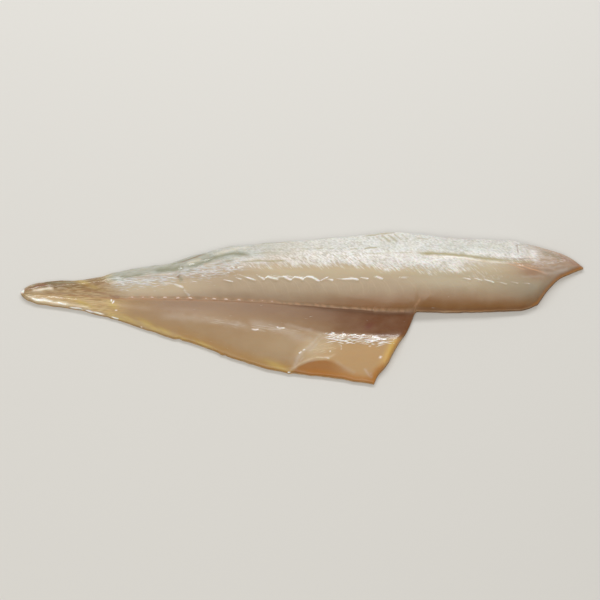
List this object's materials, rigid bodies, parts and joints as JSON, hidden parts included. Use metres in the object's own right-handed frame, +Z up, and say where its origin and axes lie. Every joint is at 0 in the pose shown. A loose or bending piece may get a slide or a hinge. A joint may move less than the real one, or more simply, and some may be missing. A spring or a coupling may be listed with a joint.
{
  "type": "smoked fish fillet",
  "caption": "Flat raw-smoked fish fillet with a domed back loin, a thin belly flap trimmed on a slant, a narrow tail and a flat underside.",
  "frame": {"origin": "middle of the underside's bounding box, on the resting plane", "axes": "+X from the tail to the head end, +Y towards the thick back edge, +Z up out of the flesh side"},
  "size_m": [0.381, 0.1087, 0.018],
  "materials": {
    "smoked_flesh": null
  },
  "bodies": {
    "root": {"fillet": "smoked_flesh"}
  },
  "joints": []
}
